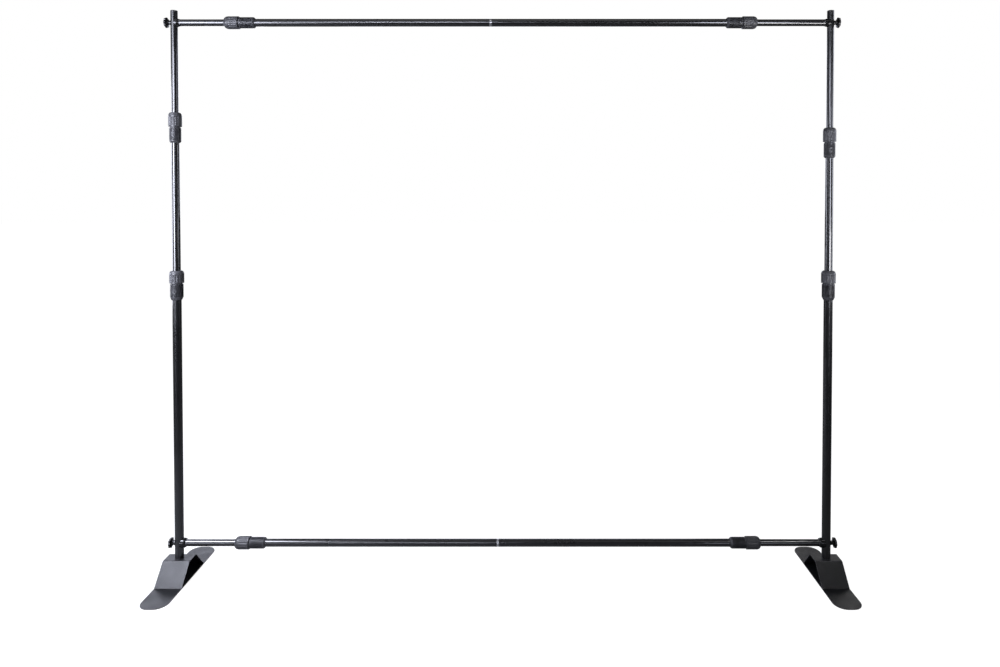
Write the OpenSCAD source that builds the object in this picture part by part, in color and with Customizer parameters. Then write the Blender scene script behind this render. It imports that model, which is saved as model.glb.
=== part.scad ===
// Telescopic backdrop frame. Two three-stage posts stand on bent plate feet and are joined by an
// upper and a lower crossbar, each made of two screwed-together tubes with a sliding tube at each end.
// Origin: on the floor, midway between the feet. X runs along the crossbars, Z is up.

/* [Frame] */
// Distance between the two post axes
post_spacing = 2770; // [2420:1:3050]
// Height of the post tops above the floor
post_top_z = 2412; // [2000:1:2440]
// Height of the lower crossbar axis
lower_bar_z = 145; // [125:1:220]
// Distance of the upper crossbar axis below the post tops
upper_bar_drop = 51; // [35:1:90]
// Position of the lower crossbar's screw joint along X
lower_joint_x = -21; // [-60:1:60]
// Position of the upper crossbar's screw joint along X
upper_joint_x = -49; // [-60:1:60]

/* [Posts] */
// Length of the lower post tube
lower_tube_len = 1195; // [1000:5:1300]
// Length of the middle post tube
middle_tube_len = 800; // [600:10:1100]
// Length of the top post tube
top_tube_len = 720; // [500:10:1100]
// Height of the left upper lock's parting line
left_lock_z = 1921; // [1800:1:1930]
// Height of the right upper lock's parting line
right_lock_z = 1857; // [1800:1:1930]

/* [Tubes] */
// Outside diameter of the lower post tube
lower_od = 36; // [34:0.5:40]
// Outside diameter of the middle post tube and of the crossbar's centre tubes
middle_od = 32; // [31:0.5:33]
// Outside diameter of the top post tube and of the crossbar's end tubes
top_od = 28; // [26:0.5:28.5]
// Wall thickness of the lower post tube
lower_wall = 1.2; // [1:0.1:1.6]
// Wall thickness of the other tubes
tube_wall = 1; // [0.8:0.1:1.4]
// Length of each crossbar centre tube
bar_tube_len = 1073; // [900:1:1150]
// Length of each crossbar end tube
end_tube_len = 650; // [500:10:750]

/* [Foot] */
// Length of a foot from front to back
foot_len = 480; // [400:5:600]
// Width of a foot
foot_w = 115; // [90:1:140]
// Height of the foot's raised top
foot_h = 81; // [60:1:110]
// Thickness of the foot's two plates
foot_t = 3; // [2:0.5:4]
// Length of the flat raised top
foot_top_len = 52; // [40:1:90]
// Angle of the sloping parts of the foot
foot_slope = 48; // [35:1:60]
// Corner radius of the foot's ends
foot_corner = 48; // [20:1:56]

/* [Locks] */
// Outside diameter of the large lock's nut
big_nut_d = 58; // [54:0.5:64]
// Length of the large lock's nut
big_nut_len = 55; // [50:1:66]
// Outside diameter of the large lock's sleeve
big_sleeve_d = 51.5; // [48:0.5:56]
// Length of the large lock's sleeve
big_sleeve_len = 70; // [50:1:90]
// Outside diameter of the small lock's nut
small_nut_d = 53; // [48:0.5:60]
// Length of the small lock's nut
small_nut_len = 62; // [55:1:70]
// Outside diameter of the small lock's sleeve
small_sleeve_d = 46; // [43:0.5:52]
// Length of the small lock's sleeve
small_sleeve_len = 66; // [50:1:90]
// Number of grip flutes around each nut
flutes = 16; // [8:1:24]

/* [Knobs] */
// Outside diameter of a clamp knob over its lobes
knob_d = 44; // [36:1:50]
// Number of lobes on a clamp knob
lobes = 8; // [5:1:9]

/* [Hidden] */
$fn = 96;
glue_gap = 0.05;
run_gap = 0.05;
plug_gap = 0.05;
post_x = post_spacing / 2;
upper_bar_z = post_top_z - upper_bar_drop;
r_lower = lower_od / 2;
r_middle = middle_od / 2;
r_top = top_od / 2;
cap_t = 3;
lock_z = foot_h + lower_tube_len - 18;

// Lock layout, measured along the tube from the parting line between sleeve and nut
tube_stop = 18;
neck_len = 34;
neck_wall = 4;
seat_wall = 1;
collet_end = 41;
groove = 2.5;
big_taper = 12;
small_taper = 6;
big_dome = 15;
small_dome = 17;

// Clamp at each crossbar end, measured from the post axis
stud_r = 4;
upper_pad_r = 17.4;
lower_pad_r = 20;
upper_tube_start = 26;
lower_tube_start = 31;
washer_r = 9.5;
washer_t = 3.5;

// Screw joint in the middle of each crossbar
collar_len = 8;
joint_plug_len = 50;
joint_stud_r = 8;

// Foot bolt
bolt_r = 5;
bolt_reach = 26;

black = [0.03, 0.03, 0.035];
satin = [0.10, 0.10, 0.11];
knob_black = [0.02, 0.02, 0.02];
plate_black = [0.07, 0.07, 0.075];
zinc = [0.62, 0.63, 0.65];
nylon = [0.16, 0.16, 0.17];

// ---------- placement ----------

module on_post(side, z) {
    translate([side * post_x, 0, z]) children();
}

// Points the child's Z axis along X: dir 1 to +X, dir -1 to -X
module on_bar(x, z, dir) {
    translate([x, 0, z]) rotate([0, dir * 90, 0]) children();
}

// ---------- tubes ----------

module tube(r, wall, len) {
    difference() {
        cylinder(r = r, h = len);
        translate([0, 0, -1]) cylinder(r = r - wall, h = len + 2);
    }
}

// A post tube with a hole across it, along X, for the stud of a clamp knob
module drilled_tube(r, wall, len, hole_z) {
    difference() {
        tube(r, wall, len);
        translate([0, 0, hole_z]) rotate([0, 90, 0])
            cylinder(r = stud_r + 0.5, h = 2 * r + 4, center = true);
    }
}

// ---------- twist lock ----------

module lock_sleeve(r_out, d, len, taper) {
    neck_r = r_out + neck_wall;
    seat_r = r_out + seat_wall;
    r = d / 2;
    rotate_extrude() polygon([
        [r_out + glue_gap, -len], [r_out + 1.6, -len], [r_out + 2.2, 0.6 - len],
        [r - 1, taper - len - 1.5], [r, taper - len + 1],
        [r, -3.5], [r - 2.2, -groove / 2], [neck_r, -groove / 2], [neck_r, neck_len - 1],
        [neck_r - 1, neck_len], [seat_r, neck_len], [seat_r, tube_stop], [r_out + glue_gap, tube_stop]
    ]);
}

module lock_collet(r_out, r_in) {
    seat_r = r_out + seat_wall - 0.1;
    bore_r = r_in + 0.08;
    difference() {
        rotate_extrude() polygon([
            [bore_r, tube_stop + 0.2], [seat_r, tube_stop + 0.2], [seat_r, neck_len],
            [bore_r + 1, collet_end], [bore_r, collet_end]
        ]);
        translate([0, -1, tube_stop - 1]) cube([2 * seat_r, 2, collet_end - tube_stop + 2]);
    }
}

function dome(r_from, r_to, s_from, s_to, n) = [
    for (i = [0 : n])
        [r_to + (r_from - r_to) * cos(90 * i / n), s_from + (s_to - s_from) * sin(90 * i / n)]
];

module lock_nut(r_out, r_in, d, len, dome_len) {
    r = d / 2;
    bore_r = r_out + neck_wall + run_gap;
    seat_r = r_out + seat_wall;
    difference() {
        rotate_extrude() polygon(concat(
            [[bore_r, groove], [r - 1, groove], [r, groove + 1]],
            dome(r, r_in + 2, len - dome_len, len, 6),
            [[r_in + 0.5, len], [r_in + 0.5, collet_end + 2], [r_in + 1.4, collet_end + 1],
             [seat_r + 0.3, neck_len + 1], [bore_r, neck_len + 1]]
        ));
        for (i = [0 : flutes - 1])
            rotate([0, 0, 360 * i / flutes]) translate([r + 1.1, 0, groove + 5])
                cylinder(r = 2.3, h = len - dome_len - groove - 7, $fn = 24);
    }
}

module big_sleeve() {
    lock_sleeve(r_lower, big_sleeve_d, big_sleeve_len, big_taper);
}

module big_collet() {
    lock_collet(r_lower, r_middle);
}

module big_nut() {
    lock_nut(r_lower, r_middle, big_nut_d, big_nut_len, big_dome);
}

module small_sleeve() {
    lock_sleeve(r_middle, small_sleeve_d, small_sleeve_len, small_taper);
}

module small_collet() {
    lock_collet(r_middle, r_top);
}

module small_nut() {
    lock_nut(r_middle, r_top, small_nut_d, small_nut_len, small_dome);
}

// ---------- foot ----------

bend_in = 4;
bend_out = bend_in + foot_t;
bend_hi = [-foot_top_len / 2, foot_h - bend_out];

// Where a face of the slope, r from the bend's centre, comes down on the flat plate
function slope_end(r) = [
    bend_hi[0] - r * sin(foot_slope)
        - (bend_hi[1] + r * cos(foot_slope) - foot_t) / tan(foot_slope),
    foot_t
];

function arc(centre, r, a0, a1, n = 6) = [
    for (i = [0 : n]) centre + r * [cos(a0 + (a1 - a0) * i / n), sin(a0 + (a1 - a0) * i / n)]
];
function reversed(points) = [for (i = [len(points) - 1 : -1 : 0]) points[i]];
function mirrored(points) = [for (p = points) [-p[0], p[1]]];

// Front half of the bent plate's side view, under and over, up to the raised top
bridge_under = concat([slope_end(bend_in)], arc(bend_hi, bend_in, 90 + foot_slope, 90));
bridge_over = concat([slope_end(bend_out)], arc(bend_hi, bend_out, 90 + foot_slope, 90));

module bridge_profile() {
    polygon(concat(
        bridge_under, mirrored(reversed(bridge_under)), mirrored(bridge_over), reversed(bridge_over)
    ));
}

module foot_outline() {
    square([foot_w, foot_len - 2 * foot_corner], center = true);
    square([foot_w - 2 * foot_corner, foot_len], center = true);
    for (x = [-1, 1], y = [-1, 1])
        translate([x * (foot_w / 2 - foot_corner), y * (foot_len / 2 - foot_corner)])
            circle(r = foot_corner);
}

// Flat plate that lies on the floor
module foot_plate() {
    linear_extrude(height = foot_t) foot_outline();
}

// Bent plate that is welded across the flat one and carries the post
module foot_bridge() {
    difference() {
        rotate([90, 0, 90]) linear_extrude(height = foot_w, center = true) bridge_profile();
        translate([0, 0, foot_h - foot_t - 1]) cylinder(r = bolt_r + 0.5, h = foot_t + 2);
    }
}

// Flanged hexagon bolt, driven up through the bridge into the post's plug
module foot_bolt() {
    translate([0, 0, foot_h - foot_t - 1.6]) cylinder(r = 11, h = 1.6);
    translate([0, 0, foot_h - foot_t - 8]) cylinder(r = 9.2, h = 6.4, $fn = 6);
    translate([0, 0, foot_h - foot_t - 1.6]) cylinder(r = bolt_r, h = foot_t + 1.6 + bolt_reach);
}

module base_plug() {
    translate([0, 0, foot_h]) difference() {
        cylinder(r = r_lower - lower_wall - plug_gap, h = 32);
        translate([0, 0, -1]) cylinder(r = bolt_r + run_gap, h = 34);
    }
}

// ---------- post ----------

module lower_tube() {
    translate([0, 0, foot_h])
        drilled_tube(r_lower, lower_wall, lower_tube_len, lower_bar_z - foot_h);
}

module middle_tube(split_z) {
    translate([0, 0, split_z + tube_stop - middle_tube_len])
        tube(r_middle, tube_wall, middle_tube_len);
}

module top_tube() {
    translate([0, 0, post_top_z - cap_t - top_tube_len])
        drilled_tube(r_top, tube_wall, top_tube_len, top_tube_len + cap_t - upper_bar_drop);
}

module top_cap() {
    inner_r = r_top - tube_wall - plug_gap;
    translate([0, 0, post_top_z]) rotate_extrude() polygon([
        [0, 0], [r_top - 1.2, 0], [r_top, -1.2], [r_top, -cap_t], [inner_r, -cap_t],
        [inner_r, -18], [inner_r - 2, -18], [inner_r - 2, -cap_t], [0, -cap_t]
    ]);
}

// ---------- crossbar ----------

// Threaded stud with a bright collar, fixed in the left tube; s = 0 is the collar's middle
module joint_stud() {
    plug_r = r_middle - tube_wall - plug_gap;
    rotate_extrude() polygon([
        [0, -joint_plug_len], [plug_r, -joint_plug_len], [plug_r, -collar_len / 2],
        [r_middle - 0.6, -collar_len / 2], [r_middle - 0.1, 0.5 - collar_len / 2],
        [r_middle - 0.1, collar_len / 2 - 0.5], [r_middle - 0.6, collar_len / 2],
        [joint_stud_r, collar_len / 2], [joint_stud_r, 42], [joint_stud_r - 1.5, 43.5], [0, 43.5]
    ]);
}

module joint_socket() {
    translate([0, 0, collar_len / 2]) difference() {
        cylinder(r = r_middle - tube_wall - plug_gap, h = joint_plug_len);
        translate([0, 0, -1]) cylinder(r = joint_stud_r + run_gap, h = joint_plug_len + 2);
    }
}

function left_split(joint_x) = joint_x - collar_len / 2 - bar_tube_len + tube_stop;
function right_split(joint_x) = joint_x + collar_len / 2 + bar_tube_len - tube_stop;

module bar_tube(joint_x, z, dir) {
    on_bar(joint_x + dir * collar_len / 2, z, dir) tube(r_middle, tube_wall, bar_tube_len);
}

module at_locks(joint_x, z) {
    on_bar(left_split(joint_x), z, -1) children();
    on_bar(right_split(joint_x), z, 1) children();
}

// ---------- clamp at a crossbar end, Z from the post axis towards the bar ----------

module post_hollow(post_r, gap) {
    rotate([0, 90, 0]) cylinder(r = post_r + gap, h = 80, center = true);
}

// Plug of the end tube with a hollowed face that seats against the post
module end_clamp(post_r, head) {
    inner_r = r_top - tube_wall - plug_gap;
    start = head[len(head) - 1][1];
    difference() {
        rotate_extrude() polygon(concat(
            [[stud_r + run_gap, head[0][1]]], head,
            [[inner_r, start], [inner_r, start + 38], [inner_r - 1, start + 39],
             [stud_r + run_gap, start + 39]]
        ));
        post_hollow(post_r, glue_gap);
    }
}

module upper_end_clamp() {
    end_clamp(r_top, [
        [upper_pad_r - 0.8, 4], [upper_pad_r, 5], [upper_pad_r, r_top + 1],
        [r_top + 0.4, upper_tube_start]
    ]);
}

module lower_end_clamp() {
    end_clamp(r_lower, concat(
        [[lower_pad_r - 1.5, 6], [lower_pad_r, 8]],
        dome(lower_pad_r, r_top + 0.5, r_lower + 2, lower_tube_start, 6)
    ));
}

module end_tube(start) {
    translate([0, 0, start]) tube(r_top, tube_wall, end_tube_len);
}

// ---------- clamp knob, Z from the post axis outwards ----------

module pad(post_r) {
    difference() {
        cylinder(r = washer_r, h = post_r + washer_t);
        post_hollow(post_r, 0.3);
        cylinder(r = stud_r + 0.3, h = post_r + washer_t + 1);
        translate([0, 0, -1]) cylinder(r = washer_r + 1, h = post_r / 2);
    }
}

module knob(post_r, stud_in) {
    base = post_r + washer_t + 0.1;
    lobe_r = 5.4;
    translate([0, 0, base]) rotate_extrude() polygon([
        [0, 0], [7.6, 0], [8, 0.4], [8, 4], [9.5, 7], [16, 10.5], [16, 12], [0, 12]
    ]);
    intersection() {
        translate([0, 0, base + 9.5]) linear_extrude(height = 13) union() {
            circle(r = knob_d / 2 - 3);
            for (i = [0 : lobes - 1]) rotate(360 * i / lobes)
                translate([knob_d / 2 - lobe_r, 0]) circle(r = lobe_r, $fn = 32);
        }
        translate([0, 0, base + 21.5 - 62]) sphere(r = 62);
        translate([0, 0, base + 9]) cylinder(r1 = 17, r2 = 38, h = 13);
    }
    translate([0, 0, -stud_in]) cylinder(r = stud_r, h = base + stud_in + 1);
}

// ---------- named parts ----------

module left_foot_plate() color(plate_black) on_post(-1, 0) foot_plate();
module left_foot_bridge() color(plate_black) on_post(-1, 0) foot_bridge();
module left_foot_bolt() color(zinc) on_post(-1, 0) foot_bolt();
module left_base_plug() color(nylon) on_post(-1, 0) base_plug();
module left_lower_tube() color(black) on_post(-1, 0) lower_tube();
module left_lower_lock_sleeve() color(satin) on_post(-1, lock_z) big_sleeve();
module left_lower_lock_collet() color(nylon) on_post(-1, lock_z) big_collet();
module left_lower_lock_nut() color(satin) on_post(-1, lock_z) big_nut();
module left_middle_tube() color(black) on_post(-1, 0) middle_tube(left_lock_z);
module left_upper_lock_sleeve() color(satin) on_post(-1, left_lock_z) small_sleeve();
module left_upper_lock_collet() color(nylon) on_post(-1, left_lock_z) small_collet();
module left_upper_lock_nut() color(satin) on_post(-1, left_lock_z) small_nut();
module left_top_tube() color(black) on_post(-1, 0) top_tube();
module left_top_cap() color(knob_black) on_post(-1, 0) top_cap();

module right_foot_plate() color(plate_black) on_post(1, 0) foot_plate();
module right_foot_bridge() color(plate_black) on_post(1, 0) foot_bridge();
module right_foot_bolt() color(zinc) on_post(1, 0) foot_bolt();
module right_base_plug() color(nylon) on_post(1, 0) base_plug();
module right_lower_tube() color(black) on_post(1, 0) lower_tube();
module right_lower_lock_sleeve() color(satin) on_post(1, lock_z) big_sleeve();
module right_lower_lock_collet() color(nylon) on_post(1, lock_z) big_collet();
module right_lower_lock_nut() color(satin) on_post(1, lock_z) big_nut();
module right_middle_tube() color(black) on_post(1, 0) middle_tube(right_lock_z);
module right_upper_lock_sleeve() color(satin) on_post(1, right_lock_z) small_sleeve();
module right_upper_lock_collet() color(nylon) on_post(1, right_lock_z) small_collet();
module right_upper_lock_nut() color(satin) on_post(1, right_lock_z) small_nut();
module right_top_tube() color(black) on_post(1, 0) top_tube();
module right_top_cap() color(knob_black) on_post(1, 0) top_cap();

module lower_bar_tube_left() color(black) bar_tube(lower_joint_x, lower_bar_z, -1);
module lower_bar_tube_right() color(black) bar_tube(lower_joint_x, lower_bar_z, 1);
module lower_bar_joint_stud() color(zinc) on_bar(lower_joint_x, lower_bar_z, 1) joint_stud();
module lower_bar_joint_socket() color(zinc) on_bar(lower_joint_x, lower_bar_z, 1) joint_socket();
module lower_bar_lock_sleeves() color(satin) at_locks(lower_joint_x, lower_bar_z) small_sleeve();
module lower_bar_lock_collets() color(nylon) at_locks(lower_joint_x, lower_bar_z) small_collet();
module lower_bar_nut_left() color(satin) on_bar(left_split(lower_joint_x), lower_bar_z, -1) small_nut();
module lower_bar_nut_right() color(satin) on_bar(right_split(lower_joint_x), lower_bar_z, 1) small_nut();
module lower_bar_end_tube_left() color(black) on_bar(-post_x, lower_bar_z, 1) end_tube(lower_tube_start);
module lower_bar_end_tube_right() color(black) on_bar(post_x, lower_bar_z, -1) end_tube(lower_tube_start);
module lower_bar_end_clamp_left() color(knob_black) on_bar(-post_x, lower_bar_z, 1) lower_end_clamp();
module lower_bar_end_clamp_right() color(knob_black) on_bar(post_x, lower_bar_z, -1) lower_end_clamp();
module lower_bar_pad_left() color(knob_black) on_bar(-post_x, lower_bar_z, -1) pad(r_lower);
module lower_bar_pad_right() color(knob_black) on_bar(post_x, lower_bar_z, 1) pad(r_lower);
module lower_bar_knob_left() color(knob_black) on_bar(-post_x, lower_bar_z, -1) knob(r_lower, 52);
module lower_bar_knob_right() color(knob_black) on_bar(post_x, lower_bar_z, 1) knob(r_lower, 52);

module upper_bar_tube_left() color(black) bar_tube(upper_joint_x, upper_bar_z, -1);
module upper_bar_tube_right() color(black) bar_tube(upper_joint_x, upper_bar_z, 1);
module upper_bar_joint_stud() color(zinc) on_bar(upper_joint_x, upper_bar_z, 1) joint_stud();
module upper_bar_joint_socket() color(zinc) on_bar(upper_joint_x, upper_bar_z, 1) joint_socket();
module upper_bar_lock_sleeves() color(satin) at_locks(upper_joint_x, upper_bar_z) small_sleeve();
module upper_bar_lock_collets() color(nylon) at_locks(upper_joint_x, upper_bar_z) small_collet();
module upper_bar_nut_left() color(satin) on_bar(left_split(upper_joint_x), upper_bar_z, -1) small_nut();
module upper_bar_nut_right() color(satin) on_bar(right_split(upper_joint_x), upper_bar_z, 1) small_nut();
module upper_bar_end_tube_left() color(black) on_bar(-post_x, upper_bar_z, 1) end_tube(upper_tube_start);
module upper_bar_end_tube_right() color(black) on_bar(post_x, upper_bar_z, -1) end_tube(upper_tube_start);
module upper_bar_end_clamp_left() color(knob_black) on_bar(-post_x, upper_bar_z, 1) upper_end_clamp();
module upper_bar_end_clamp_right() color(knob_black) on_bar(post_x, upper_bar_z, -1) upper_end_clamp();
module upper_bar_pad_left() color(knob_black) on_bar(-post_x, upper_bar_z, -1) pad(r_top);
module upper_bar_pad_right() color(knob_black) on_bar(post_x, upper_bar_z, 1) pad(r_top);
module upper_bar_knob_left() color(knob_black) on_bar(-post_x, upper_bar_z, -1) knob(r_top, 45);
module upper_bar_knob_right() color(knob_black) on_bar(post_x, upper_bar_z, 1) knob(r_top, 45);

left_foot_plate();
left_foot_bridge();
left_foot_bolt();
left_base_plug();
left_lower_tube();
left_lower_lock_sleeve();
left_lower_lock_collet();
left_lower_lock_nut();
left_middle_tube();
left_upper_lock_sleeve();
left_upper_lock_collet();
left_upper_lock_nut();
left_top_tube();
left_top_cap();
right_foot_plate();
right_foot_bridge();
right_foot_bolt();
right_base_plug();
right_lower_tube();
right_lower_lock_sleeve();
right_lower_lock_collet();
right_lower_lock_nut();
right_middle_tube();
right_upper_lock_sleeve();
right_upper_lock_collet();
right_upper_lock_nut();
right_top_tube();
right_top_cap();
lower_bar_tube_left();
lower_bar_tube_right();
lower_bar_joint_stud();
lower_bar_joint_socket();
lower_bar_lock_sleeves();
lower_bar_lock_collets();
lower_bar_nut_left();
lower_bar_end_tube_left();
lower_bar_end_clamp_left();
lower_bar_pad_left();
lower_bar_knob_left();
lower_bar_nut_right();
lower_bar_end_tube_right();
lower_bar_end_clamp_right();
lower_bar_pad_right();
lower_bar_knob_right();
upper_bar_tube_left();
upper_bar_tube_right();
upper_bar_joint_stud();
upper_bar_joint_socket();
upper_bar_lock_sleeves();
upper_bar_lock_collets();
upper_bar_nut_left();
upper_bar_end_tube_left();
upper_bar_end_clamp_left();
upper_bar_pad_left();
upper_bar_knob_left();
upper_bar_nut_right();
upper_bar_end_tube_right();
upper_bar_end_clamp_right();
upper_bar_pad_right();
upper_bar_knob_right();
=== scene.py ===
import math

import bmesh
import bpy
import numpy as np
from mathutils import Matrix, Vector


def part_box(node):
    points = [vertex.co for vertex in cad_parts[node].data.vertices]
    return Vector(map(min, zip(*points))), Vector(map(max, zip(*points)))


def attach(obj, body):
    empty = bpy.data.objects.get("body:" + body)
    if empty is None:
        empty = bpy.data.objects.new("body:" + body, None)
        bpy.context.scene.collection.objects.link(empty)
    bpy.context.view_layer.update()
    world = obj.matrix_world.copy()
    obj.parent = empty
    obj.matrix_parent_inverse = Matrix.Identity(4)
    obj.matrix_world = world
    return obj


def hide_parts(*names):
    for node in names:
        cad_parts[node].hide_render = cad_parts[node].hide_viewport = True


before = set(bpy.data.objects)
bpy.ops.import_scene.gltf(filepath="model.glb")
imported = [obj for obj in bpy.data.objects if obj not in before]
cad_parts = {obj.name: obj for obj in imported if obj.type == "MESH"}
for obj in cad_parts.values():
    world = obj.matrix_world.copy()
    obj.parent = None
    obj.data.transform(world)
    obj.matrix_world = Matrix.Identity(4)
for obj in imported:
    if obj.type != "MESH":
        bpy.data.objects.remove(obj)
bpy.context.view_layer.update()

MM = 0.001
SIDES = ("left", "right")
BARS = ("lower", "upper")

# ---------- sizes in millimetres, the same as in the CAD ----------

R_LOWER, R_MIDDLE, R_TOP = 18.0, 16.0, 14.0
WALL_LOWER, WALL = 1.2, 1.0
TUBE_STOP, NECK_LEN, COLLET_END = 18.0, 34.0, 41.0
NECK_WALL, SEAT_WALL, GAP = 4.0, 1.0, 0.05
GROOVE = 2.5
BIG = dict(tube=R_LOWER, inner=R_MIDDLE, nut_r=29.0, nut_len=55.0, dome=15.0,
           sleeve_r=25.75, sleeve_len=70.0, taper=12.0)
SMALL = dict(tube=R_MIDDLE, inner=R_TOP, nut_r=26.5, nut_len=62.0, dome=17.0,
             sleeve_r=23.0, sleeve_len=66.0, taper=6.0)
FLUTES = 16
KNOB_R, KNOB_LOBES, LOBE_R, KNOB_VALLEY = 22.0, 8, 5.4, 19.0
WASHER_T, STUD_R, HEAD_H, HEAD_BALL = 3.5, 4.0, 21.5, 62.0
STUD_CLEAR = 0.5
FOOT_LEN, FOOT_W, FOOT_H, FOOT_T = 480.0, 115.0, 81.0, 3.0
FOOT_TOP, FOOT_SLOPE, FOOT_CORNER = 52.0, math.radians(48.0), 48.0
BEND_IN, BOLT_HOLE_R = 4.0, 5.5

# Sides of the turned pieces.
TUBE_SIDES, DRILL_SIDES, SLEEVE_SIDES = 96, 40, 160
SIDES_PER_FLUTE, SIDES_PER_LOBE = 14, 18


def middle(node):
    low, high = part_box(node)
    return (low + high) / 2


POST_X = {side: middle(side + "_foot_plate").x / MM for side in SIDES}
BAR_Z = {bar: middle(bar + "_bar_pad_left").z / MM for bar in BARS}


# Edges that turn by more than this many degrees are shaded sharp.
TUBE_SHARP, FOOT_SHARP, MOULDED_SHARP = 35.0, 40.0, 50.0


# ---------- placement ----------

def upright(x, y, z):
    """Local Z stays up; the point is in millimetres."""
    return Matrix.Translation(Vector((x, y, z)) * MM) @ Matrix.Scale(MM, 4)


def along_x(x, z, direction):
    """Local Z points to +X (direction 1) or -X (direction -1)."""
    turn = Matrix.Rotation(direction * math.pi / 2, 4, "Y")
    return Matrix.Translation(Vector((x, 0, z)) * MM) @ turn @ Matrix.Scale(MM, 4)


# ---------- meshes ----------

def soften(corners, steps=4):
    """A closed loop of (r, s) with its corners rounded. A corner is (r, s) or (r, s, radius)."""
    out = []
    count = len(corners)
    for i, corner in enumerate(corners):
        p = np.array(corner[:2], float)
        radius = corner[2] if len(corner) > 2 else 0.0
        back = np.array(corners[i - 1][:2], float) - p
        ahead = np.array(corners[(i + 1) % count][:2], float) - p
        len_back, len_ahead = np.linalg.norm(back), np.linalg.norm(ahead)
        back, ahead = back / len_back, ahead / len_ahead
        angle = math.acos(max(-1.0, min(1.0, float(back @ ahead))))
        if radius <= 0 or angle > math.radians(176):
            out.append(p)
            continue
        reach = min(radius / math.tan(angle / 2), 0.42 * len_back, 0.42 * len_ahead)
        radius = reach * math.tan(angle / 2)
        hold = reach + max(0.25, 0.35 * radius)
        bisector = (back + ahead) / np.linalg.norm(back + ahead)
        centre = p + bisector * radius / math.sin(angle / 2)
        start, end = p + back * reach, p + ahead * reach
        if hold < 0.49 * len_back:
            out.append(p + back * hold)
        a0 = math.atan2(*(start - centre)[::-1])
        sweep = (math.atan2(*(end - centre)[::-1]) - a0 + math.pi) % (2 * math.pi) - math.pi
        for k in range(steps + 1):
            a = a0 + sweep * k / steps
            out.append(centre + radius * np.array([math.cos(a), math.sin(a)]))
        if hold < 0.49 * len_ahead:
            out.append(p + ahead * hold)
    return out


def lathe(loop, steps, relief=None):
    """The closed loop of (r, s) points turned round local Z.

    relief(r, s, angles) gives the depth that is cut from r.
    """
    angles = 2 * math.pi * np.arange(steps) / steps
    verts, rings = [], []
    for r, s in loop:
        if r < 1e-6:
            rings.append([len(verts)])
            verts.append((0.0, 0.0, s))
            continue
        radii = np.full(steps, r) if relief is None else r - relief(r, s, angles)
        rings.append(range(len(verts), len(verts) + steps))
        verts.extend(zip(radii * np.cos(angles), radii * np.sin(angles), np.full(steps, s)))
    faces = []
    for i, a in enumerate(rings):
        b = rings[(i + 1) % len(rings)]
        if len(a) == 1 and len(b) == 1:
            continue
        for j in range(steps):
            k = (j + 1) % steps
            if len(a) == 1:
                faces.append((a[0], b[j], b[k]))
            elif len(b) == 1:
                faces.append((a[j], b[0], a[k]))
            else:
                faces.append((a[j], b[j], b[k], a[k]))
    return verts, faces


def build(name, verts, faces, matrix, materials,
          sharp=TUBE_SHARP, wear=None, face_material=None):
    """A mesh object from local points in millimetres, with its rubbed places (0 to 1) as wear."""
    mesh = bpy.data.meshes.new(name)
    co = np.asarray(verts, float)
    m = np.array(matrix)
    mesh.from_pydata((co @ m[:3, :3].T + m[:3, 3]).tolist(), [], faces)
    for material in materials:
        mesh.materials.append(material)
    if face_material is not None:
        mesh.polygons.foreach_set("material_index", face_material)
    level = mesh.attributes.new("wear", "FLOAT", "POINT")
    level.data.foreach_set("value", np.zeros(len(co)) if wear is None else np.asarray(wear, float))
    bm = bmesh.new()
    bm.from_mesh(mesh)
    bmesh.ops.recalc_face_normals(bm, faces=bm.faces)
    bm.to_mesh(mesh)
    bm.free()
    finish_mesh(mesh, sharp)
    obj = bpy.data.objects.new(name, mesh)
    bpy.context.scene.collection.objects.link(obj)
    return obj


def finish_mesh(mesh, sharp):
    mesh.shade_smooth()
    mesh.set_sharp_from_angle(angle=math.radians(sharp))
    mesh.validate()
    mesh.update()


def drill(radius, start, end, matrix, material):
    """A plain cylinder along local Z, to be cut out of a piece with bored()."""
    loop = [(0, start), (radius, start), (radius, end), (0, end)]
    return build("drill", *lathe(loop, DRILL_SIDES), matrix, [material])


def bored(obj, cutter, sharp):
    """obj with the cutter's volume taken out of it."""
    cut = obj.modifiers.new("bore", "BOOLEAN")
    cut.operation, cut.solver, cut.object = "DIFFERENCE", "EXACT", cutter
    graph = bpy.context.evaluated_depsgraph_get()
    mesh = bpy.data.meshes.new_from_object(obj.evaluated_get(graph))
    obj.modifiers.clear()
    obj.data = mesh
    finish_mesh(mesh, sharp)
    bpy.data.objects.remove(cutter)
    return obj


def place(obj, body, slot, *nodes):
    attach(obj, body)
    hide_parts(*nodes)
    return obj


# ---------- materials ----------

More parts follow.
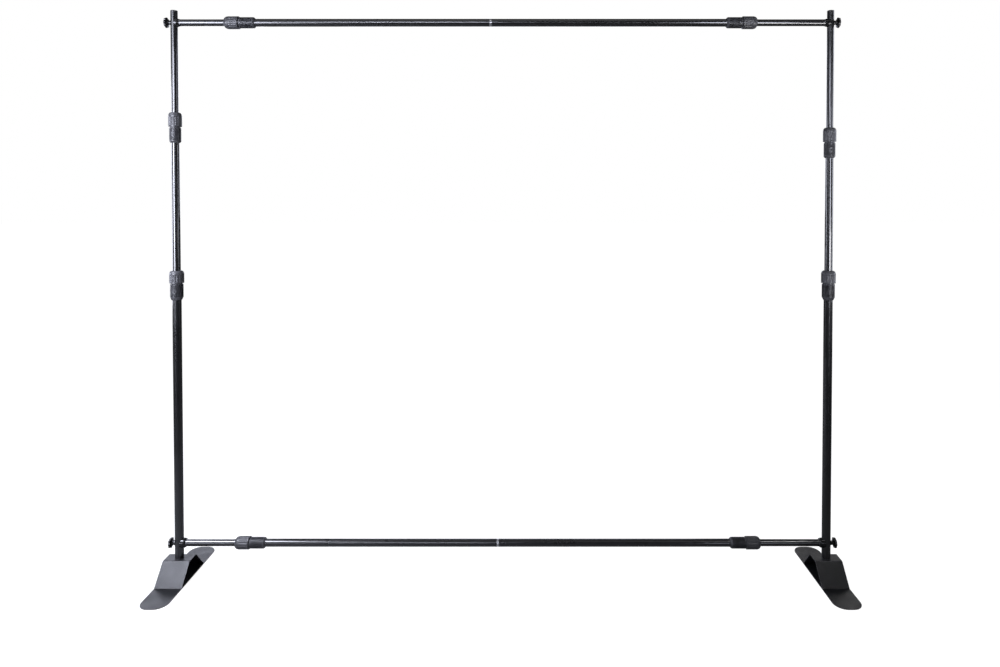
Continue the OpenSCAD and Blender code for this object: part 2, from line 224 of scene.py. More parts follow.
class Shader:
    """A principled material that is built from nodes on object coordinates."""

    def __init__(self, name, **fixed):
        self.material = bpy.data.materials.new(name)
        self.material.use_nodes = True
        self.tree = self.material.node_tree
        self.tree.nodes.clear()
        self.output = self.add("ShaderNodeOutputMaterial")
        self.surface = self.add("ShaderNodeBsdfPrincipled")
        self.tree.links.new(self.surface.outputs[0], self.output.inputs["Surface"])
        for key, value in fixed.items():
            socket = key.replace("_", " ").title().replace("Ior", "IOR")
            self.surface.inputs[socket].default_value = value
        self.coords = self.add("ShaderNodeTexCoord").outputs["Object"]

    def add(self, kind, links=None, **props):
        node = self.tree.nodes.new(kind)
        for key, value in props.items():
            setattr(node, key, value)
        for key, value in (links or {}).items():
            socket = node.inputs[key]
            if isinstance(value, bpy.types.NodeSocket):
                self.tree.links.new(value, socket)
            else:
                socket.default_value = value
        return node

    def noise(self, scale, detail=2.0, rough=0.5, stretch=(1, 1, 1)):
        coords = self.coords
        if stretch != (1, 1, 1):
            coords = self.add("ShaderNodeMapping", {"Vector": coords, "Scale": stretch}).outputs[0]
        return self.add("ShaderNodeTexNoise", {
            "Vector": coords, "Scale": scale, "Detail": detail, "Roughness": rough}).outputs["Fac"]

    def grains(self, scale):
        links = {"Vector": self.coords, "Scale": scale}
        return self.add("ShaderNodeTexVoronoi", links).outputs["Distance"]

    def fit(self, value, low, high, to_low=0.0, to_high=1.0):
        return self.add("ShaderNodeMapRange", {
            "Value": value, "From Min": low, "From Max": high, "To Min": to_low, "To Max": to_high,
        }, interpolation_type="SMOOTHSTEP").outputs["Result"]

    def math(self, operation, a, b):
        return self.add("ShaderNodeMath", {0: a, 1: b}, operation=operation).outputs[0]

    def mix(self, factor, a, b):
        node = self.add("ShaderNodeMix", data_type="RGBA")
        for socket, value in zip((node.inputs[0], node.inputs[6], node.inputs[7]), (factor, a, b)):
            if isinstance(value, bpy.types.NodeSocket):
                self.tree.links.new(value, socket)
            else:
                socket.default_value = value
        return node.outputs[2]

    def wear(self):
        return self.add("ShaderNodeAttribute", attribute_name="wear").outputs["Fac"]

    def bump(self, layers):
        normal = None
        for height, strength, distance in layers:
            links = {"Height": height, "Strength": strength, "Distance": distance}
            if normal is not None:
                links["Normal"] = normal
            normal = self.add("ShaderNodeBump", links).outputs[0]
        self.set("Normal", normal)

    def set(self, name, value):
        self.tree.links.new(value, self.surface.inputs[name])


def grey(value, tint=(1.0, 1.0, 1.08)):
    return (value * tint[0], value * tint[1], value * tint[2], 1.0)


def tube_paint(name, lengthwise):
    """Glossy black paint with the fine streaks that sliding in the locks leaves."""
    s = Shader(name, coat_weight=1.0, coat_roughness=0.11, coat_ior=1.55)
    thin = tuple(0.012 if axis == lengthwise else 1.0 for axis in range(3))
    patches = s.noise(9.0, 3.0, 0.6)
    streaks = s.noise(900.0, 2.0, 0.6, thin)
    streaks = s.math("MULTIPLY", s.fit(streaks, 0.58, 0.74), s.fit(patches, 0.42, 0.70))
    dust = s.fit(s.noise(700.0, 3.0, 0.7), 0.64, 0.80)
    rubbed = s.math("MULTIPLY", s.wear(), s.fit(s.noise(160.0, 4.0, 0.7), 0.35, 0.62))
    colour = s.mix(s.fit(patches, 0.3, 0.7), grey(0.0060), grey(0.0085))
    colour = s.mix(s.math("MULTIPLY", streaks, 0.35), colour, grey(0.024))
    colour = s.mix(s.math("MULTIPLY", dust, 0.12), colour, grey(0.040, (1, 1, 1)))
    s.set("Base Color", s.mix(rubbed, colour, grey(0.16, (1, 1, 1.02))))
    rough = s.fit(patches, 0.25, 0.75, 0.26, 0.34)
    s.set("Roughness", s.math("ADD", rough, s.math("MULTIPLY", streaks, 0.10)))
    s.bump([(s.noise(330.0, 2.0, 0.5), 0.20, 0.00003), (streaks, 0.20, 0.00001)])
    return s.material


def foot_paint():
    """Dark powder coat: a fine pebbled skin, rubbed lighter along the plate's edges."""
    s = Shader("foot_powder_coat")
    patches = s.noise(22.0, 4.0, 0.6)
    grain = s.noise(1500.0, 2.0, 0.55)
    rubbed = s.math("MULTIPLY", s.wear(), s.fit(s.noise(90.0, 5.0, 0.75), 0.34, 0.60))
    colour = s.mix(s.fit(patches, 0.3, 0.7), grey(0.011), grey(0.016))
    colour = s.mix(s.fit(grain, 0.45, 0.75, 0.0, 0.5), colour, grey(0.034))
    s.set("Base Color", s.mix(rubbed, colour, grey(0.13)))
    s.set("Roughness", s.fit(patches, 0.25, 0.75, 0.34, 0.44))
    s.bump([(grain, 0.60, 0.00025), (s.noise(420.0, 3.0, 0.6), 0.25, 0.0004)])
    return s.material


def lock_plastic():
    """Satin moulded plastic with a fine etched grain, paler on the crests that hands rub."""
    s = Shader("lock_satin_plastic")
    patches = s.noise(40.0, 3.0, 0.6)
    grain = s.noise(1900.0, 2.0, 0.6)
    rubbed = s.math("MULTIPLY", s.wear(), s.fit(s.noise(220.0, 4.0, 0.7), 0.32, 0.62))
    colour = s.mix(s.fit(patches, 0.3, 0.7), grey(0.064), grey(0.076))
    s.set("Base Color", s.mix(rubbed, colour, grey(0.080)))
    rough = s.fit(patches, 0.25, 0.75, 0.30, 0.38)
    s.set("Roughness", s.math("SUBTRACT", rough, s.math("MULTIPLY", rubbed, 0.08)))
    s.bump([(grain, 0.40, 0.00020), (s.grains(900.0), 0.12, 0.00015)])
    return s.material


def inner_plastic():
    """Plain grey nylon, for the collets and the base plugs."""
    s = Shader("inner_nylon")
    patches = s.noise(60.0, 3.0, 0.6)
    tint = (1, 1, 1.03)
    s.set("Base Color", s.mix(s.fit(patches, 0.3, 0.7), grey(0.17, tint), grey(0.22, tint)))
    s.set("Roughness", s.fit(patches, 0.25, 0.75, 0.42, 0.55))
    s.bump([(s.noise(1300.0, 2.0, 0.5), 0.25, 0.00015)])
    return s.material


def knob_plastic():
    """Glossy black plastic with faint handling marks."""
    s = Shader("knob_gloss_plastic")
    smears = s.noise(70.0, 4.0, 0.65)
    marks = s.fit(s.noise(520.0, 3.0, 0.7, (1.0, 0.25, 0.6)), 0.62, 0.78)
    rubbed = s.math("MULTIPLY", s.wear(), s.fit(s.noise(240.0, 4.0, 0.7), 0.36, 0.62))
    colour = s.mix(s.fit(smears, 0.3, 0.7), grey(0.0075, (1, 1, 1)), grey(0.0115, (1, 1, 1)))
    s.set("Base Color", s.mix(rubbed, colour, grey(0.030, (1, 1, 1))))
    rough = s.fit(smears, 0.3, 0.7, 0.12, 0.22)
    s.set("Roughness", s.math("ADD", rough, s.math("MULTIPLY", marks, 0.12)))
    s.bump([(s.noise(180.0, 2.0, 0.5), 0.10, 0.0003), (marks, 0.10, 0.00004)])
    return s.material


def bright_steel(name, lengthwise):
    """Bright zinc-plated steel with fine turning marks round the axis."""
    s = Shader(name, metallic=1.0)
    fine = tuple(1.0 if axis == lengthwise else 0.02 for axis in range(3))
    turned = s.noise(4200.0, 2.0, 0.6, fine)
    patches = s.noise(90.0, 3.0, 0.6)
    dull, clean = (0.74, 0.75, 0.77, 1), (0.86, 0.86, 0.87, 1)
    s.set("Base Color", s.mix(s.fit(patches, 0.3, 0.7), dull, clean))
    rough = s.fit(patches, 0.25, 0.75, 0.22, 0.34)
    s.set("Roughness", s.math("ADD", rough, s.fit(turned, 0.35, 0.65, 0.0, 0.08)))
    s.bump([(turned, 0.30, 0.00006)])
    return s.material


PAINT_UP, PAINT_ALONG = tube_paint("post_black_paint", 2), tube_paint("bar_black_paint", 0)
COAT, LOCK, NYLON, KNOB = foot_paint(), lock_plastic(), inner_plastic(), knob_plastic()
STEEL_UP, STEEL_ALONG = bright_steel("bolt_bright_steel", 2), bright_steel("joint_bright_steel", 0)


# ---------- tubes ----------

TUBE_WEAR = 3.0  # how far from its ends a tube's paint is rubbed


def tube_loop(radius, wall, start, end):
    """A tube's wall as a closed loop, with softened ends and a row of points near each end."""
    inner, inset = radius - wall, 4
    loop = soften([(inner, start, 0.2), (radius, start, 0.35),
                   (radius, end, 0.35), (inner, end, 0.2)])
    at = max(i for i, p in enumerate(loop) if p[0] > radius - 1e-6 and p[1] < (start + end) / 2)
    outside = [np.array([radius, s]) for s in (start + inset, end - inset)]
    inside = [np.array([inner, s]) for s in (end - inset, start + inset)]
    return loop[:at + 1] + outside + loop[at + 1:] + inside


def end_wear(verts, start, end):
    """Rubbed paint on the last few millimetres of a tube."""
    s = np.array(verts)[:, 2]
    near = np.minimum(abs(s - start), abs(s - end))
    return np.clip(1 - near / TUBE_WEAR, 0, 1)


def post_tube(side, stage, radius, wall, body, hole_bar=None):
    node = f"{side}_{stage}_tube"
    low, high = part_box(node)
    start, end = low.z / MM, high.z / MM
    verts, faces = lathe(tube_loop(radius, wall, start, end), TUBE_SIDES)
    obj = build(node + "_shell", verts, faces, upright(POST_X[side], 0, 0), [PAINT_UP],
                wear=end_wear(verts, start, end))
    if hole_bar:
        where = along_x(POST_X[side], BAR_Z[hole_bar], 1)
        bored(obj, drill(STUD_R + STUD_CLEAR, -25, 25, where, PAINT_UP), TUBE_SHARP)
    place(obj, body, "tube_paint", node)


def bar_tube(node, radius, body):
    low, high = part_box(node)
    start, end = low.x / MM, high.x / MM
    verts, faces = lathe(tube_loop(radius, WALL, start, end), TUBE_SIDES)
    bar = node.split("_")[0]
    obj = build(node + "_shell", verts, faces, along_x(0, BAR_Z[bar], 1), [PAINT_ALONG],
                wear=end_wear(verts, start, end))
    place(obj, body, "tube_paint", node)


for side in SIDES:
    post_tube(side, "lower", R_LOWER, WALL_LOWER, side + "_post", "lower")
    post_tube(side, "middle", R_MIDDLE, WALL, side + "_middle")
    post_tube(side, "top", R_TOP, WALL, side + "_top", "upper")
    for bar in BARS:
        bar_tube(f"{bar}_bar_tube_{side}", R_MIDDLE, bar + "_bar")
    bar_tube(f"lower_bar_end_tube_{side}", R_TOP, side + "_post")
    bar_tube(f"upper_bar_end_tube_{side}", R_TOP, side + "_top")


# ---------- twist locks ----------

# The sleeve's dimple and the raised ring round it, then the nut's flutes and fine cross ridges.
DIMPLE_R, DIMPLE_EDGE, DIMPLE_DEPTH = 6.2, 1.4, 0.55
RING_R, RING_W, RING_H = 7.0, 0.9, 0.25
FLUTE_DEPTH, RIDGE_DEPTH, RIDGE_PITCH = 1.35, 0.10, 2.3


def sleeve_shape(k, dimple):
    """A lock's fixed sleeve, tapered on to the tube at its far end.

    dimple adds a shallow round dimple with a raised ring.
    """
    r, length, tube = k["sleeve_r"], k["sleeve_len"], k["tube"]
    neck, seat, taper = tube + NECK_WALL, tube + SEAT_WALL, k["taper"]
    loop = soften([
        (tube + GAP, -length), (tube + 1.6, -length, 0.4), (tube + 2.2, 0.6 - length, 1.2),
        (r - 1, taper - length - 1.5, 3.0), (r, taper - length + 1, 3.0),
        (r, -3.5, 1.2), (r - 2.2, -GROOVE / 2, 0.5), (neck, -GROOVE / 2, 0.3),
        (neck, NECK_LEN - 1, 0.3), (neck - 1, NECK_LEN, 0.3), (seat, NECK_LEN),
        (seat, TUBE_STOP), (tube + GAP, TUBE_STOP)], 5)
    centre = -0.52 * length + 4
    span = [s for r2, s in loop if abs(r2 - r) < 1e-6]
    low, high = min(span), max(span)
    rows = list(np.arange(low + 1.2, high - 0.6, 1.2))
    at = max(i for i, (r2, s) in enumerate(loop) if abs(r2 - r) < 1e-6 and s == low)
    loop = loop[:at + 1] + [np.array([r, s]) for s in rows] + loop[at + 1:]

    def relief(radius, s, angles):
        if not dimple or abs(radius - r) > 1e-6:
            return np.zeros(len(angles))
        across = r * np.abs((angles - 1.5 * math.pi + math.pi) % (2 * math.pi) - math.pi)
        gap = np.hypot(across, s - centre)
        ring = np.exp(-((gap - RING_R) / RING_W) ** 2)
        bowl = np.clip((DIMPLE_R - gap) / DIMPLE_EDGE, 0, 1)
        return DIMPLE_DEPTH * bowl * bowl * (3 - 2 * bowl) - RING_H * ring

    verts, faces = lathe(loop, SLEEVE_SIDES, relief)
    v = np.array(verts)
    radius = np.hypot(v[:, 0], v[:, 1])
    rim = np.clip(1 - abs(v[:, 2] + 3.0) / 2.2, 0, 1) * (radius > r - 2.4)
    shoulder = np.clip(1 - abs(v[:, 2] - (taper - length)) / 3.0, 0, 1) * (radius > r - 2.0)
    return verts, faces, np.maximum(rim, 0.6 * shoulder)


def nut_shape(k):
    """A lock's turning nut: a fluted barrel under a smooth dome."""
    r, length, dome = k["nut_r"], k["nut_len"], k["dome"]
    tube, inner = k["tube"], k["inner"]
    bore, seat = tube + NECK_WALL + GAP, tube + SEAT_WALL
    top = length - dome
    loop = [np.array(p, float) for p in (
        (bore, GROOVE), (bore + 0.3, GROOVE), (r - 1.0, GROOVE),
        (r - 0.55, GROOVE + 0.13), (r - 0.13, GROOVE + 0.5), (r, GROOVE + 1.1))]
    loop += [np.array([r, s]) for s in np.arange(GROOVE + 1.9, top - 0.3, 1.15)]
    for i in range(13):
        a = math.pi / 2 * i / 12
        across = inner + 2 + (r - inner - 2) * math.cos(a)
        loop.append(np.array([across, top + dome * math.sin(a)]))
    loop += [np.array(p, float) for p in (
        (inner + 1.2, length), (inner + 0.75, length - 0.15), (inner + 0.5, length - 0.6),
        (inner + 0.5, COLLET_END + 2), (inner + 1.4, COLLET_END + 1), (seat + 0.3, NECK_LEN + 1),
        (bore, NECK_LEN + 1))]
    low, high = GROOVE + 4.0, top - 1.0

    def envelope(s):
        rise = min(max(min(s - low, high - s) / 2.6, 0.0), 1.0)
        return rise * rise * (3 - 2 * rise)

    def relief(radius, s, angles):
        if radius < r - 0.2:
            return np.zeros(len(angles))
        wave = np.clip((np.cos(FLUTES * angles) + 0.15) / 1.15, 0, 1)
        fine = RIDGE_DEPTH * (1 + math.cos(2 * math.pi * s / RIDGE_PITCH)) * (1 - wave)
        return envelope(s) * (FLUTE_DEPTH * wave ** 0.8 + fine)

    verts, faces = lathe(loop, FLUTES * SIDES_PER_FLUTE, relief)
    v = np.array(verts)
    radius, s = np.hypot(v[:, 0], v[:, 1]), v[:, 2]
    crest = np.clip((radius - (r - 0.30)) / 0.30, 0, 1) * (s > low) * (s < high)
    rim = np.clip(1 - abs(s - GROOVE - 0.6) / 1.2, 0, 1) * (radius > r - 1.2)
    return verts, faces, np.maximum(0.12 * crest, rim)


SHAPES = {
    "big_sleeve": sleeve_shape(BIG, True), "big_nut": nut_shape(BIG),
    "small_sleeve": sleeve_shape(SMALL, True), "small_nut": nut_shape(SMALL),
    "bar_sleeve": sleeve_shape(SMALL, False),
}


def lock_piece(node, shapes, body):
    """One piece of several shapes, each with its own place."""
    verts, faces, wear = [], [], []
    for key, matrix in shapes:
        v, f, w = SHAPES[key]
        shift, m = len(verts), np.array(matrix)
        verts.extend((np.array(v) @ m[:3, :3].T + m[:3, 3]).tolist())
        faces.extend([tuple(i + shift for i in face) for face in f])
        wear.extend(w)
    obj = build(node + "_shell", verts, faces, Matrix.Identity(4), [LOCK],
                sharp=MOULDED_SHARP, wear=wear)
    place(obj, body, "lock_plastic", node)


POST_LOCKS = (("lower", "big", "post", "lower_nut"), ("upper", "small", "middle", "upper_nut"))
for side in SIDES:
    for stage, kind, below, above in POST_LOCKS:
        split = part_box(f"{side}_{stage}_lock_nut")[0].z / MM - GROOVE
        here = upright(POST_X[side], 0, split)
        lock_piece(f"{side}_{stage}_lock_sleeve", [(kind + "_sleeve", here)], f"{side}_{below}")
        lock_piece(f"{side}_{stage}_lock_nut", [(kind + "_nut", here)], f"{side}_{above}")
for bar in BARS:
    left = along_x(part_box(bar + "_bar_nut_left")[1].x / MM + GROOVE, BAR_Z[bar], -1)
    right = along_x(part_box(bar + "_bar_nut_right")[0].x / MM - GROOVE, BAR_Z[bar], 1)
    lock_piece(bar + "_bar_lock_sleeves",
               [("bar_sleeve", left), ("bar_sleeve", right)], bar + "_bar")
    lock_piece(bar + "_bar_nut_left", [("small_nut", left)], bar + "_bar_left_nut")
    lock_piece(bar + "_bar_nut_right", [("small_nut", right)], bar + "_bar_right_nut")


# ---------- feet ----------

EDGE_SOFT = 0.8
EDGE_WEAR = 1.6


def round_edge(steps=5):
    """The rounded edge of a plate, outermost first.

    Each is (distance in from the plate's side, inset of its faces).
    """
    out = [(EDGE_SOFT * (1 - math.cos(a)), EDGE_SOFT * (1 - math.sin(a)))
           for a in np.linspace(0, math.pi / 2, steps + 1)]
    return out + [(EDGE_SOFT + 0.35, 0.0), (3.5, 0.0)]


def flat_plate():
    """The foot's flat plate with its rounded ends, its underside at 0."""
    reach, side = FOOT_LEN / 2 - FOOT_CORNER, FOOT_W / 2 - FOOT_CORNER
    edge, out = [], []
    for quarter, (sx, sy) in enumerate(((1, 1), (-1, 1), (-1, -1), (1, -1))):
        for a in np.linspace(0, math.pi / 2, 19) + quarter * math.pi / 2:
            out.append((math.cos(a), math.sin(a)))
            edge.append((sx * side + FOOT_CORNER * out[-1][0],
                         sy * reach + FOOT_CORNER * out[-1][1]))
    edge, out = np.array(edge), np.array(out)
    section = [(d, FOOT_T - inset) for d, inset in reversed(round_edge())]
    section += [(d, inset) for d, inset in round_edge()]
    verts, wear = [], []
    for d, z in section:
        verts += [(x, y, z) for x, y in edge - out * d]
        wear += [max(0.0, 1 - d / EDGE_WEAR) * (1.0 if z > 1 else 0.4)] * len(edge)
    count, rows = len(edge), len(section)
    faces = [(i * count + j, (i + 1) * count + j,
              (i + 1) * count + (j + 1) % count, i * count + (j + 1) % count)
             for i in range(rows - 1) for j in range(count)]
    faces += [tuple(range(count)), tuple(range((rows - 1) * count, rows * count))]
    return verts, faces, wear


def bridge_line(radius):
    """One face of the bent plate, from its front foot to its back foot.

    Each point is (y, z, normal y, normal z).
    """
    centre = np.array([-FOOT_TOP / 2, FOOT_H - FOOT_T - BEND_IN])
    normal = np.array([-math.sin(FOOT_SLOPE), math.cos(FOOT_SLOPE)])
    down = np.array([-math.cos(FOOT_SLOPE), -math.sin(FOOT_SLOPE)])
    start = centre + radius * normal
    end = (start[1] - FOOT_T) / math.sin(FOOT_SLOPE)
    half = [(*(start + down * e), *normal) for e in (end, end - 3, end / 2, 3.0, 0.6)]
    for a in np.linspace(FOOT_SLOPE, 0, 9):
        n = np.array([-math.sin(a), math.cos(a)])
        half.append((*(centre + radius * n), *n))
    half += [(centre[0] + e, centre[1] + radius, 0.0, 1.0) for e in (0.6, 3.0)]
    return half + [(-y, z, -ny, nz) for y, z, ny, nz in reversed(half)]


def bridge_plate():
    """The bent plate as its side view swept across the foot, with rounded side edges."""
    over, under = bridge_line(BEND_IN + FOOT_T), bridge_line(BEND_IN)
    last = len(over) - 1
    sweep = [(-FOOT_W / 2 + d, inset) for d, inset in round_edge()]
    sweep += [(-x, inset) for x, inset in reversed(sweep)]
    verts, wear = [], []
    for x, inset in sweep:
        for face, way in ((over, -1), (under, 1)):
            for i, (y, z, ny, nz) in enumerate(face):
                if i in (0, last):
                    y += way * inset / math.sin(FOOT_SLOPE) * (-1 if i == 0 else 1)
                else:
                    y, z = y + way * inset * ny, z + way * inset * nz
                verts.append((x, y, z))
                side = max(0.0, 1 - (FOOT_W / 2 - abs(x)) / EDGE_WEAR)
                bend = 0.35 if way < 0 and 0 < abs(ny) < math.sin(FOOT_SLOPE) - 1e-6 else 0.0
                wear.append(max(side, bend))
    count, row = last + 1, 2 * (last + 1)
    loop = list(range(count)) + list(range(row - 1, count - 1, -1))
    faces = []
    for i in range(len(sweep) - 1):
        for j, a in enumerate(loop):
            b = loop[(j + 1) % row]
            faces.append((i * row + a, i * row + b, (i + 1) * row + b, (i + 1) * row + a))
    for base in (0, (len(sweep) - 1) * row):
        faces += [(base + j, base + j + 1, base + count + j + 1, base + count + j)
                  for j in range(last)]
    return verts, faces, wear


FLAT, BRIDGE = flat_plate(), bridge_plate()
for side in SIDES:
    here = upright(POST_X[side], 0, 0)
    obj = build(side + "_foot_plate_shell", *FLAT[:2], here, [COAT],
                sharp=FOOT_SHARP, wear=FLAT[2])
    place(obj, side + "_foot", "foot_paint", side + "_foot_plate")
    obj = build(side + "_foot_bridge_shell", *BRIDGE[:2], here, [COAT],
                sharp=FOOT_SHARP, wear=BRIDGE[2])
    bored(obj, drill(BOLT_HOLE_R, 60, 90, here, COAT), FOOT_SHARP)
    place(obj, side + "_foot", "foot_paint", side + "_foot_bridge")


# ---------- knobs ----------

RUBBED_RINGS = range(17, 22)  # the outer five rings of the head's rounded front edge


def knob_outline(steps):
    """Outer radius of the lobed head at each angle, with softened valleys."""
    out = []
    centre = KNOB_R - LOBE_R
    # A smooth maximum of lobe and valley. near keeps the exponents small.
    soft, near = 0.35, 20
    valley = math.exp((KNOB_VALLEY - 0.25 - near) / soft)
    for a in 2 * math.pi * np.arange(steps) / steps:
        phi = (a + math.pi / KNOB_LOBES) % (2 * math.pi / KNOB_LOBES) - math.pi / KNOB_LOBES
        under = LOBE_R ** 2 - (centre * math.sin(phi)) ** 2
        lobe = centre * math.cos(phi) + math.sqrt(under) if under > 0 else 0.0
        out.append(soft * math.log(math.exp((lobe - near) / soft) + valley) + near)
    return np.minimum(np.array(out), KNOB_R)


def knob_shape(post_r, stud_in):
    """Lobed clamp knob with its stud, local Z outwards from the post's axis."""
    steps = KNOB_LOBES * SIDES_PER_LOBE
    outline = knob_outline(steps)
    base = post_r + WASHER_T + 0.1
    top, ball = base + HEAD_H, HEAD_BALL
    angles = 2 * math.pi * np.arange(steps) / steps

    def crown(radius):
        return top - ball + np.sqrt(ball ** 2 - radius ** 2)

    rings = [(np.full(steps, r), np.full(steps, s)) for r, s in (
        (STUD_R, -stud_in + 0.6), (STUD_R, base), (7.0, base), (7.75, base + 0.12),
        (8, base + 0.5), (8, base + 4), (8.25, base + 4.9), (9.5, base + 7.0),
        (13.0, base + 8.9), (15.8, base + 9.9))]
    low = base + 10.2
    rings.append((outline - 2.6, np.full(steps, low)))
    for a in np.linspace(0, math.pi / 2, 6):
        rings.append((outline - 1.8 * (1 - math.sin(a)), low + 0.35 + 1.8 * (1 - math.cos(a))))
    for a in np.linspace(0, math.pi / 2, 7):
        r = outline - 2.4 * (1 - math.cos(a))
        rings.append((r, crown(outline - 2.4) - 2.4 + 2.4 * math.sin(a)))
    for inset in (3.2, 4.6, 6.6):
        r = outline * (1 - inset / 30) + (KNOB_VALLEY - 1) * (inset / 30) - inset * 0.8
        rings.append((r, crown(r)))
    for r, dip in ((11.6, 0), (10.9, 0), (10.6, 0.12), (10.2, 0.55), (9.8, 0.62),
                   (9.4, 0.55), (9.0, 0.12), (8.7, 0), (8.0, 0), (4.0, 0)):
        rings.append((np.full(steps, r), np.full(steps, float(crown(r)) - dip)))
    verts, marks = [], []
    for i, (r, s) in enumerate(rings):
        s = np.broadcast_to(s, (steps,))
        verts.extend(zip(r * np.cos(angles), r * np.sin(angles), s))
        edge = 1.0 if i in RUBBED_RINGS else 0.0
        marks.extend(edge * (outline > KNOB_VALLEY + 1.0))
    faces, kinds = [], []
    for i in range(len(rings) - 1):
        for j in range(steps):
            k = (j + 1) % steps
            faces.append((i * steps + j, i * steps + k, (i + 1) * steps + k, (i + 1) * steps + j))
            kinds.append(1 if i == 0 else 0)
    tip, crest = len(verts), len(verts) + 1
    verts += [(0.0, 0.0, -stud_in), (0.0, 0.0, float(crown(0.0)))]
    marks += [0.0, 0.0]
    last = (len(rings) - 1) * steps
    for j in range(steps):
        k = (j + 1) % steps
        faces += [(tip, k, j), (crest, last + j, last + k)]
        kinds += [1, 0]
    return verts, faces, marks, kinds


for bar, post_r, stud_in in (("lower", R_LOWER, 52.0), ("upper", R_TOP, 45.0)):
    shape = knob_shape(post_r, stud_in)
    for side, direction in (("left", -1), ("right", 1)):
        node = f"{bar}_bar_knob_{side}"
        where = along_x(POST_X[side], BAR_Z[bar], direction)
        obj = build(node + "_shell", *shape[:2], where, [KNOB, STEEL_ALONG],
                    sharp=MOULDED_SHARP, wear=shape[2], face_material=shape[3])
        place(obj, f"{bar}_bar_{side}_knob", "knob_plastic", node)


# ---------- carried-over nodes ----------

for name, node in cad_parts.items():
    if node.hide_render:
        continue
    if "bolt" in name:
        finish = STEEL_UP
    elif "joint" in name:
        finish = STEEL_ALONG
    elif "collet" in name or "base_plug" in name:
        finish = NYLON
    else:
        finish = KNOB
    node.data.materials.clear()
    node.data.materials.append(finish)


# ---------- stage, light and camera ----------

def area_light(name, where, towards, width, height, power, colour, spread):
    data = bpy.data.lights.new(name, "AREA")
    data.shape, data.size, data.size_y = "RECTANGLE", width, height
    data.energy, data.color, data.spread = power, colour, math.radians(spread)
    obj = bpy.data.objects.new(name, data)
    obj.location = where
    obj.rotation_euler = (Vector(towards) - Vector(where)).to_track_quat("-Z", "Y").to_euler()
    obj.visible_camera = False
    bpy.context.scene.collection.objects.link(obj)


FLOOR_HALF, FLOOR_Z = 30.0, -0.0004
floor_mesh = bpy.data.meshes.new("floor")
floor_mesh.from_pydata([(x * FLOOR_HALF, y * FLOOR_HALF, FLOOR_Z)
                        for x, y in ((-1, -1), (1, -1), (1, 1), (-1, 1))], [], [(0, 1, 2, 3)])
floor = bpy.data.objects.new("floor", floor_mesh)
bpy.context.scene.collection.objects.link(floor)
floor_look = Shader("floor_white")
floor_look.set("Base Color", floor_look.mix(
    floor_look.noise(3.0), (0.24, 0.24, 0.24, 1), (0.26, 0.26, 0.26, 1)))
floor_look.set("Roughness", floor_look.fit(floor_look.noise(5.0), 0.3, 0.7, 0.8, 0.9))
# The floor and the background are full white to camera rays only, as in the cut-out photograph.
# So they hardly light the stand, and no shadow shows on them.
glow = floor_look.add("ShaderNodeLightPath").outputs["Is Camera Ray"]
floor_look.surface.inputs["Emission Color"].default_value = (1, 1, 1, 1)
floor_look.set("Emission Strength", floor_look.fit(glow, 0.0, 1.0, 0.02, 1.0))
floor_mesh.materials.append(floor_look.material)

world = bpy.data.worlds.new("studio")
bpy.context.scene.world = world
world.use_nodes = True
sky = world.node_tree
sky.nodes.clear()
world_out = sky.nodes.new("ShaderNodeOutputWorld")
seen, unseen = sky.nodes.new("ShaderNodeBackground"), sky.nodes.new("ShaderNodeBackground")
seen.inputs[0].default_value = (1, 1, 1, 1)
seen.inputs[1].default_value = 1.0
unseen.inputs[0].default_value = (0.97, 0.98, 1.0, 1)
unseen.inputs[1].default_value = 0.05
rays, choose = sky.nodes.new("ShaderNodeLightPath"), sky.nodes.new("ShaderNodeMixShader")
sky.links.new(rays.outputs["Is Camera Ray"], choose.inputs[0])
sky.links.new(unseen.outputs[0], choose.inputs[1])
sky.links.new(seen.outputs[0], choose.inputs[2])
sky.links.new(choose.outputs[0], world_out.inputs[0])

LAVENDER, WHITE = (0.83, 0.86, 1.0), (1.0, 0.99, 1.0)
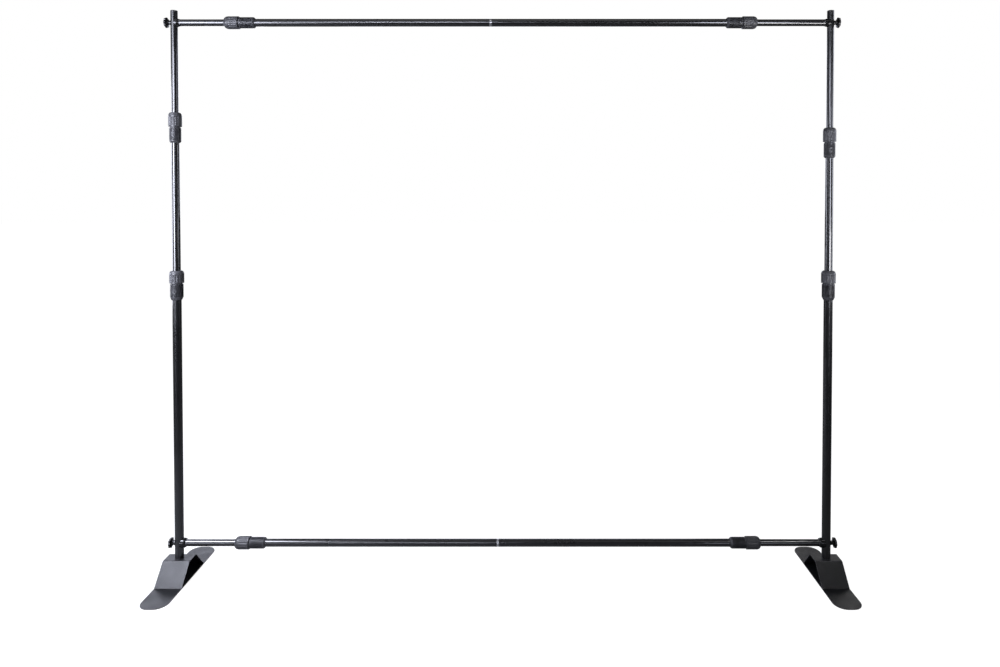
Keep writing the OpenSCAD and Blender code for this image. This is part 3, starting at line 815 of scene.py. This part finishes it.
# Name, place, point it faces, width, height (metres), power (watts), colour, spread (degrees).
LIGHTS = (
    ("left_front_softbox", (-3.3, -4.0, 1.6), (-1.385, 0.0, 1.75),
     1.7, 1.7, 11, LAVENDER, 44),
    ("left_lock_softbox", (-2.3, -1.65, 1.85), (-1.385, 0.0, 1.85),
     0.9, 1.1, 3, LAVENDER, 60),
    ("left_upper_softbox", (-3.7, -3.6, 3.1), (-1.385, 0.0, 2.2),
     2.8, 1.0, 4.5, LAVENDER, 50),
    ("right_front_softbox", (2.24, -4.0, 1.6), (1.385, 0.0, 1.75),
     0.9, 1.7, 4.2, LAVENDER, 40),
    ("left_side_softbox", (-4.0, 0.7, 1.6), (1.385, 0.0, 1.6),
     1.6, 1.7, 7, LAVENDER, 60),
    ("right_side_softbox", (4.0, 0.2, 2.0), (-1.385, 0.0, 1.75),
     0.8, 2.4, 4.5, LAVENDER, 60),
    ("left_high_softbox", (-2.6, -1.25, 2.95), (-1.4, 0.0, 0.1),
     1.6, 1.1, 26, LAVENDER, 70),
    ("right_high_softbox", (2.2, -1.3, 2.95), (1.15, 0.0, 0.145),
     0.5, 0.15, 0.8, WHITE, 60),
    ("left_bar_softbox", (-2.05, -1.6, 1.15), (-1.1, 0.0, 2.36),
     1.2, 0.35, 1.6, LAVENDER, 90),
    ("right_bar_softbox", (2.1, -1.6, 1.25), (1.1, 0.0, 2.36),
     1.2, 0.35, 5.5, WHITE, 90),
    ("front_softbox", (-1.6, -6.0, 2.9), (-0.6, 0.0, 2.3),
     2.6, 0.8, 14, LAVENDER, 60),
    ("overhead_softbox", (-0.3, -1.2, 4.6), (0.0, 0.0, 0.0),
     6.0, 0.6, 6, WHITE, 120),
    ("back_left_softbox", (-3.6, 4.2, 2.4), (-1.4, 0.0, 0.0),
     2.0, 1.0, 10, LAVENDER, 90),
    ("back_softbox", (0.0, 6.0, 2.4), (0.0, 0.0, 1.2),
     4.5, 2.2, 26, LAVENDER, 110),
    ("back_right_softbox", (3.1, 3.6, 2.3), (1.4, 0.0, 0.0),
     2.0, 1.0, 2.2, WHITE, 90),
)
for light in LIGHTS:
    area_light(*light)

# The camera that fits the posts, bars and feet in the photograph together.
SENSOR, LENS, SHIFT = 36.0, 24.995, (-0.0295, -0.1313)
CAMERA_AT, LOOK_DOWN = (0.1146, -2.9444, 1.6629), 1.151
camera_data = bpy.data.cameras.new("camera")
camera_data.sensor_width, camera_data.lens = SENSOR, LENS
camera_data.shift_x, camera_data.shift_y = SHIFT
camera_data.clip_start, camera_data.clip_end = 0.05, 200.0
camera = bpy.data.objects.new("camera", camera_data)
camera.location = CAMERA_AT
camera.rotation_euler = (math.radians(90 - LOOK_DOWN), 0.0, 0.0)
bpy.context.scene.collection.objects.link(camera)
bpy.context.scene.camera = camera
bpy.context.scene.view_settings.view_transform = "Standard"
bpy.context.scene.view_settings.look = "None"
